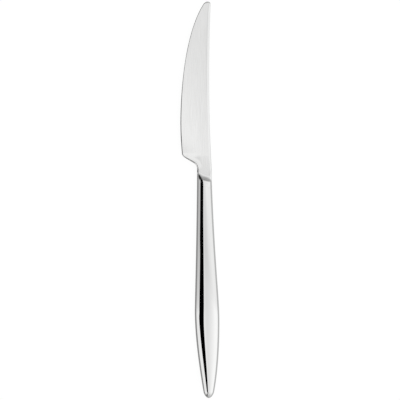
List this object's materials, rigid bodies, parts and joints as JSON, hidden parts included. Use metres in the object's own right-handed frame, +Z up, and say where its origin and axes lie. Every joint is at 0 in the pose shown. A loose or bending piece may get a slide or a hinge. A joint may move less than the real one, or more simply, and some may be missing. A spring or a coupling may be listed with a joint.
{
  "type": "dessert knife",
  "caption": "Polished steel dessert knife: a slim blade with a swept-up blunt tip and notched heel, set by a raked scooped shoulder into a hollow teardrop handle, to cut desserts and fruit.",
  "frame": {"origin": "middle of the underside of the knife's box, as it lies on its side", "axes": "+X from the cutting edge to the spine, +Y from the butt to the tip, +Z up through the thickness"},
  "size_m": [0.0206, 0.2102, 0.0072],
  "materials": {
    "blade_steel": "fine satin polish",
    "handle_steel": "mirror polish",
    "braze": "polished flush",
    "cement": "matt, cast"
  },
  "bodies": {
    "root": {"blade": "blade_steel", "front_handle_shell": "handle_steel", "back_handle_shell": "handle_steel", "seam_braze": "braze", "mouth_braze": "braze", "tang_cement": "cement"}
  },
  "joints": []
}
